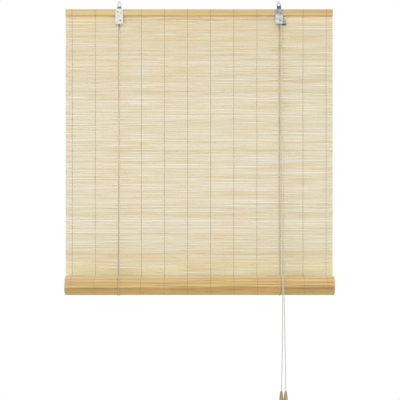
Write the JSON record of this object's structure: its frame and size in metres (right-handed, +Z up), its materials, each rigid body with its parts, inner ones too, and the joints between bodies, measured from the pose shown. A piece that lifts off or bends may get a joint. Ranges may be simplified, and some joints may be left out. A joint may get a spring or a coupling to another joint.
{
  "type": "bamboo roll-up blind",
  "caption": "Window blind of thin bamboo reeds on a wooden rail, partly rolled up in two cord slings, with steel hanging eyes, a cord lock and tasselled pull cords.",
  "frame": {"origin": "midway between the centres of the two hanging eyes, in the middle of their sheet", "axes": "+X to the right along the rail, -Y towards the room, +Z up"},
  "size_m": [0.8, 0.0796, 1.191],
  "materials": {
    "reed": "raw split bamboo, matte",
    "rolled_reed": "raw split bamboo, matte",
    "rail_wood": "bare planed wood",
    "thread": "twisted cotton yarn",
    "lift_cord": "braided cord",
    "pull_cord": "braided cord",
    "bright_steel": "bright zinc plated sheet",
    "dull_steel": "plain steel wire",
    "cam_steel": "dark phosphated steel",
    "roller_brass": "turned brass",
    "pulley_plastic": "moulded nylon",
    "tassel_wood": "turned wood, waxed"
  },
  "bodies": {
    "head": {"head_rail": "rail_wood", "reed_mat": "reed", "warp_thread_01": "thread", "warp_thread_02": "thread", "warp_thread_03": "thread", "warp_thread_04": "thread", "warp_thread_05": "thread", "warp_thread_06": "thread", "warp_thread_07": "thread", "warp_thread_08": "thread", "warp_thread_09": "thread", "warp_thread_10": "thread", "warp_thread_11": "thread", "warp_thread_12": "thread", "pulley_bracket": "bright_steel", "lock_bracket": "bright_steel", "bracket_nails": "dull_steel", "cord_staples": "dull_steel", "pulley_rivet": "dull_steel", "roller_rivet": "dull_steel", "cam_pin": "dull_steel", "cross_cord": "lift_cord", "right_cord_turn": "lift_cord", "left_front_strand": "lift_cord", "right_front_strand": "lift_cord", "left_back_strand": "lift_cord", "right_back_strand": "lift_cord", "pull_cord_a": "pull_cord", "pull_cord_b": "pull_cord"},
    "slings": {"left_sling": "lift_cord", "right_sling": "lift_cord"},
    "roll": {"rolled_mat": "rolled_reed", "bottom_rail": "rail_wood"},
    "pulley": {"cord_pulley": "pulley_plastic"},
    "roller": {"lock_roller": "roller_brass"},
    "cam": {"lock_cam": "cam_steel"},
    "tassel_a": {"tassel_a": "tassel_wood", "tassel_knot_a": "pull_cord"},
    "tassel_b": {"tassel_b": "tassel_wood", "tassel_knot_b": "pull_cord"}
  },
  "joints": [
    {"name": "roll_lift", "type": "slide", "parent": "head", "child": "slings", "axis": [0, 0, 1], "range_m": [-0.53, 0.73], "deforming": ["reed_mat", "warp_thread_01", "warp_thread_02", "warp_thread_03", "warp_thread_04", "warp_thread_05", "warp_thread_06", "warp_thread_07", "warp_thread_08", "warp_thread_09", "warp_thread_10", "warp_thread_11", "warp_thread_12", "left_front_strand", "right_front_strand", "left_back_strand", "right_back_strand"]},
    {"name": "roll_turn", "type": "hinge", "parent": "slings", "child": "roll", "pos_m": [0, -0.0233, -0.8388], "axis": [1, 0, 0], "continuous": true},
    {"name": "pulley_turn", "type": "hinge", "parent": "head", "child": "pulley", "pos_m": [-0.236, 0, -0.047], "axis": [0, 1, 0], "continuous": true},
    {"name": "roller_turn", "type": "hinge", "parent": "head", "child": "roller", "pos_m": [0.242, 0, -0.047], "axis": [0, 1, 0], "continuous": true},
    {"name": "cam_release", "type": "hinge", "parent": "head", "child": "cam", "pos_m": [0.2486, 0, -0.0505], "axis": [0, -1, 0], "range_deg": [0, 30]},
    {"name": "tassel_a_pull", "type": "slide", "parent": "head", "child": "tassel_a", "axis": [0, 0, -1], "range_m": [-1.06, 1.46], "deforming": ["pull_cord_a"]},
    {"name": "tassel_b_pull", "type": "slide", "parent": "head", "child": "tassel_b", "axis": [0, 0, -1], "range_m": [-1.06, 1.46], "deforming": ["pull_cord_b"]}
  ],
  "couplings": [
    {"joint": "roll_turn", "follows": "roll_lift", "rad_per_m": -35.211},
    {"joint": "tassel_a_pull", "follows": "roll_lift", "ratio": 2},
    {"joint": "tassel_b_pull", "follows": "roll_lift", "ratio": 2},
    {"joint": "pulley_turn", "follows": "roll_lift", "rad_per_m": 666.67},
    {"joint": "roller_turn", "follows": "roll_lift", "rad_per_m": 666.67}
  ]
}
